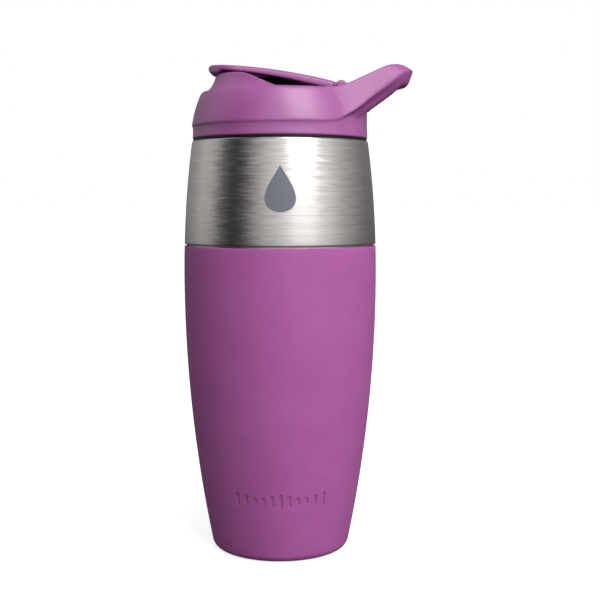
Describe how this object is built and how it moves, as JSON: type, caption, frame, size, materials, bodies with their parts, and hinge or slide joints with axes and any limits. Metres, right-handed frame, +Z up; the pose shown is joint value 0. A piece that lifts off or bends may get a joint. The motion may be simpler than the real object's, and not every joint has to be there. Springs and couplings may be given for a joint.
{
  "type": "insulated shaker bottle",
  "caption": "Insulated protein shaker bottle: tapered steel flask in a soft sleeve, with a screw lid, flip cap over a spout collar and a raised carry loop.",
  "frame": {"origin": "centre of the flat underside, where the bottle stands", "axes": "+Z up along the bottle's axis, +X towards the carry loop, the drinking spout towards -X"},
  "size_m": [0.1119, 0.094, 0.2362],
  "materials": {
    "soft_sleeve": "moulded silicone sleeve with a soft matt face, orchid purple",
    "brushed_steel": "304 stainless steel, brushed round the band",
    "liner_steel": "304 stainless steel, spun and electropolished",
    "lid_plastic": "moulded polypropylene, fine matt texture, orchid purple",
    "plug_plastic": "moulded polypropylene, black",
    "silicone": "food-grade silicone, black",
    "pin_steel": "drawn stainless pin",
    "grid_plastic": "moulded polypropylene, natural white",
    "seal_glass": "sealing glass bead",
    "getter_metal": "pressed getter alloy"
  },
  "bodies": {
    "bottle": {"grip_sleeve": "soft_sleeve", "outer_shell": "brushed_steel", "inner_liner": "liner_steel", "shell_base": "liner_steel", "vacuum_seal": "seal_glass", "getter": "getter_metal", "getter_clip": "pin_steel"},
    "lid_seal": {"lid_gasket": "silicone"},
    "lid": {"lid_shell": "lid_plastic", "lid_plug": "plug_plastic", "vent_valve": "silicone", "hinge_pin": "pin_steel"},
    "cap": {"flip_cap": "lid_plastic", "spout_seal": "silicone"},
    "grid": {"mixing_grid": "grid_plastic"}
  },
  "joints": [
    {"name": "lid_lift", "type": "slide", "parent": "bottle", "child": "lid_seal", "axis": [0, 0, 1], "range_m": [0, 0.012]},
    {"name": "lid_turn", "type": "hinge", "parent": "lid_seal", "child": "lid", "pos_m": [0, 0, 0.2], "axis": [0, 0, 1], "range_deg": [0, 540]},
    {"name": "cap_hinge", "type": "hinge", "parent": "lid", "child": "cap", "pos_m": [0.0293, 0, 0.2258], "axis": [0, 1, 0], "range_deg": [0, 120]},
    {"name": "grid_pull", "type": "slide", "parent": "lid", "child": "grid", "axis": [0, 0, -1], "range_m": [0, 0.006]}
  ],
  "couplings": [
    {"joint": "lid_lift", "follows": "lid_turn", "m_per_rad": 0.0012732}
  ]
}
